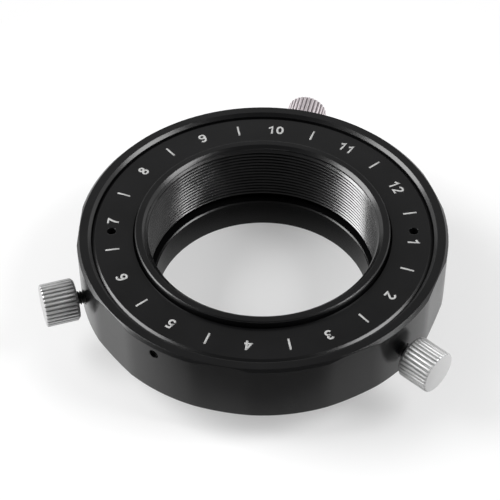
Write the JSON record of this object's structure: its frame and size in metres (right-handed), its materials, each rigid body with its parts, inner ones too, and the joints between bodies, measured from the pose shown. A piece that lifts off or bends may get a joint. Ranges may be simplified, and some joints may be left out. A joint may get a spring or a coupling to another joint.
{
  "type": "optical rotation mount",
  "caption": "Black threaded rotation mount: a rotor collar turns under a numbered dial ring and is locked by radial thumbscrews with knurled knobs.",
  "frame": {"origin": "on the optical axis, at the end face of the male thread that the mount stands on", "axes": "+Z along the optical axis towards the numbered dial and the female thread; +X and -X through the dial's two spanner holes"},
  "size_m": [0.0733, 0.0739, 0.0191],
  "materials": {
    "black_anodised": "satin black anodised",
    "black_steel": "black oxide",
    "glide_plastic": "PTFE",
    "knob_aluminium": "satin clear anodised",
    "shoe_brass": "turned"
  },
  "bodies": {
    "housing": {"housing_ring": "black_anodised", "base_adapter": "black_anodised", "base_screws": "black_steel", "dial_retaining_ring": "black_anodised", "dial_lock_screw": "black_steel", "lower_glide_washer": "glide_plastic", "upper_glide_washer": "glide_plastic"},
    "rotor": {"rotor_collar": "black_anodised"},
    "shoe_1": {"clamp_shoe_1": "shoe_brass"},
    "thumbscrew_1": {"thumbscrew_knob_1": "knob_aluminium", "thumbscrew_shank_1": "black_steel"},
    "shoe_2": {"clamp_shoe_2": "shoe_brass"},
    "thumbscrew_2": {"thumbscrew_knob_2": "knob_aluminium", "thumbscrew_shank_2": "black_steel"},
    "shoe_3": {"clamp_shoe_3": "shoe_brass"},
    "thumbscrew_3": {"thumbscrew_knob_3": "knob_aluminium", "thumbscrew_shank_3": "black_steel"}
  },
  "joints": [
    {"name": "rotor_turn", "type": "hinge", "parent": "housing", "child": "rotor", "pos_m": [0, 0, 0.01135], "axis": [0, 0, 1], "continuous": true},
    {"name": "shoe_1_travel", "type": "slide", "parent": "housing", "child": "shoe_1", "axis": [0.2181, 0.9759, 0], "range_m": [-0.00025, 0.000675]},
    {"name": "thumbscrew_1_turn", "type": "hinge", "parent": "shoe_1", "child": "thumbscrew_1", "pos_m": [0, 0, 0.01135], "axis": [0.2181, 0.9759, 0], "range_deg": [-201, 541]},
    {"name": "shoe_2_travel", "type": "slide", "parent": "housing", "child": "shoe_2", "axis": [-0.9542, -0.299, 0], "range_m": [-0.00025, 0.000675]},
    {"name": "thumbscrew_2_turn", "type": "hinge", "parent": "shoe_2", "child": "thumbscrew_2", "pos_m": [0, 0, 0.01135], "axis": [-0.9542, -0.299, 0], "range_deg": [-201, 541]},
    {"name": "shoe_3_travel", "type": "slide", "parent": "housing", "child": "shoe_3", "axis": [0.7361, -0.6769, 0], "range_m": [-0.00025, 0.000675]},
    {"name": "thumbscrew_3_turn", "type": "hinge", "parent": "shoe_3", "child": "thumbscrew_3", "pos_m": [0, 0, 0.01135], "axis": [0.7361, -0.6769, 0], "range_deg": [-201, 541]}
  ],
  "couplings": [
    {"joint": "thumbscrew_1_turn", "follows": "shoe_1_travel", "rad_per_m": 13963},
    {"joint": "thumbscrew_2_turn", "follows": "shoe_2_travel", "rad_per_m": 13963},
    {"joint": "thumbscrew_3_turn", "follows": "shoe_3_travel", "rad_per_m": 13963}
  ]
}
